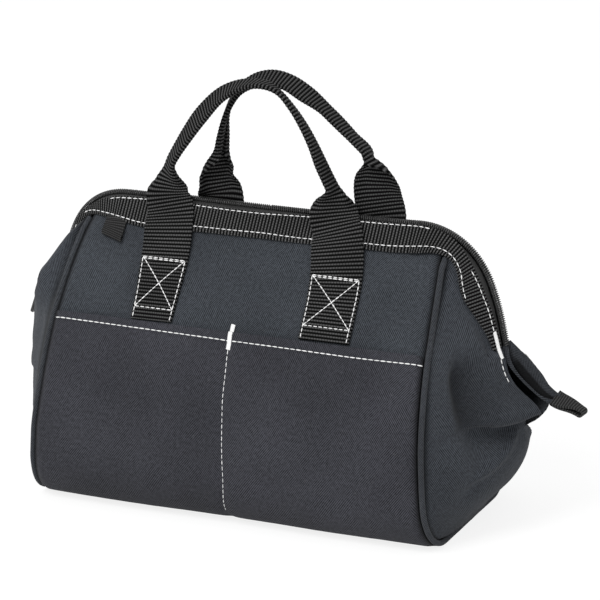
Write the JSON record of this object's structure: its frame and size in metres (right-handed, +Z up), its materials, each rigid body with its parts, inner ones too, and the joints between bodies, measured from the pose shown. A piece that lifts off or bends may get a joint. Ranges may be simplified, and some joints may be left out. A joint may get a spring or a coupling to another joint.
{
  "type": "zippered tool bag",
  "caption": "Soft wide-mouth tool bag: rounded tub, walls that fold out at the zippered mouth, full-width front slip pocket, twin webbing handles and piped ends.",
  "frame": {"origin": "middle of the flat base, on the floor", "axes": "+X along the length towards the zipper tail, -Y towards the pocket front, +Z up"},
  "size_m": [0.4259, 0.1675, 0.3043],
  "materials": {
    "body_cloth": "charcoal coated polyester twill, matt",
    "pocket_cloth": "charcoal coated polyester twill, matt",
    "webbing": "black ribbed polypropylene webbing with white box stitching",
    "band_webbing": "black ribbed binding tape with two rows of white stitching",
    "zip_tape": "black woven zipper tape",
    "zip_coil": "black nylon coil",
    "piping": "charcoal cloth-covered cord",
    "zip_metal": "black enamelled die-cast zinc",
    "base_board": "stiff black board"
  },
  "bodies": {
    "tub": {"base_panel": "body_cloth", "base_board": "base_board", "front_lower_panel": "body_cloth", "back_lower_panel": "body_cloth", "front_pocket": "pocket_cloth", "left_end_panel": "body_cloth", "right_end_panel": "body_cloth", "left_piping": "piping", "right_piping": "piping", "left_arm_coil": "zip_coil", "right_arm_coil": "zip_coil", "front_left_arm_band": "band_webbing", "front_left_arm_zip_tape": "zip_tape", "front_right_arm_band": "band_webbing", "front_right_arm_zip_tape": "zip_tape", "back_left_arm_band": "band_webbing", "back_left_arm_zip_tape": "zip_tape", "back_right_arm_band": "band_webbing", "back_right_arm_zip_tape": "zip_tape"},
    "front_flap": {"front_upper_panel": "body_cloth", "front_band": "band_webbing", "front_zip_tape": "zip_tape", "front_zip_coil": "zip_coil", "front_left_piping": "piping", "front_right_piping": "piping", "front_left_anchor": "webbing", "front_right_anchor": "webbing", "loop_tab": "webbing"},
    "back_flap": {"back_upper_panel": "body_cloth", "back_band": "band_webbing", "back_zip_tape": "zip_tape", "back_zip_coil": "zip_coil", "back_left_piping": "piping", "back_right_piping": "piping", "back_left_anchor": "webbing", "back_right_anchor": "webbing"},
    "front_handle": {"front_handle": "webbing"},
    "back_handle": {"back_handle": "webbing"},
    "zip_slider": {"zip_slider": "zip_metal"},
    "slider_pull": {"slider_pull": "zip_metal"},
    "zip_tail": {"front_tail_tape": "zip_tape", "back_tail_tape": "zip_tape", "tail_tab": "webbing"}
  },
  "joints": [
    {"name": "front_flap_fold", "type": "hinge", "parent": "tub", "child": "front_flap", "pos_m": [0, -0.05535, 0.13479], "axis": [1, 0, 0], "range_deg": [0, 35]},
    {"name": "back_flap_fold", "type": "hinge", "parent": "tub", "child": "back_flap", "pos_m": [0, 0.05535, 0.13479], "axis": [-1, 0, 0], "range_deg": [0, 35]},
    {"name": "front_handle_fold", "type": "hinge", "parent": "front_flap", "child": "front_handle", "pos_m": [0, -0.02992, 0.17402], "axis": [1, 0, 0], "range_deg": [0, 130]},
    {"name": "back_handle_fold", "type": "hinge", "parent": "back_flap", "child": "back_handle", "pos_m": [0, 0.02992, 0.17402], "axis": [-1, 0, 0], "range_deg": [0, 130]},
    {"name": "slider_travel", "type": "slide", "parent": "tub", "child": "zip_slider", "axis": [0.314, 0, 0.9494], "range_m": [0, 0.028]},
    {"name": "pull_swing", "type": "hinge", "parent": "zip_slider", "child": "slider_pull", "pos_m": [-0.17857, 0, 0.14031], "axis": [0, 1, 0], "range_deg": [0, 140]},
    {"name": "tail_lift", "type": "hinge", "parent": "tub", "child": "zip_tail", "pos_m": [0.17754, 0, 0.12544], "axis": [0, -1, 0], "range_deg": [0, 60]}
  ]
}
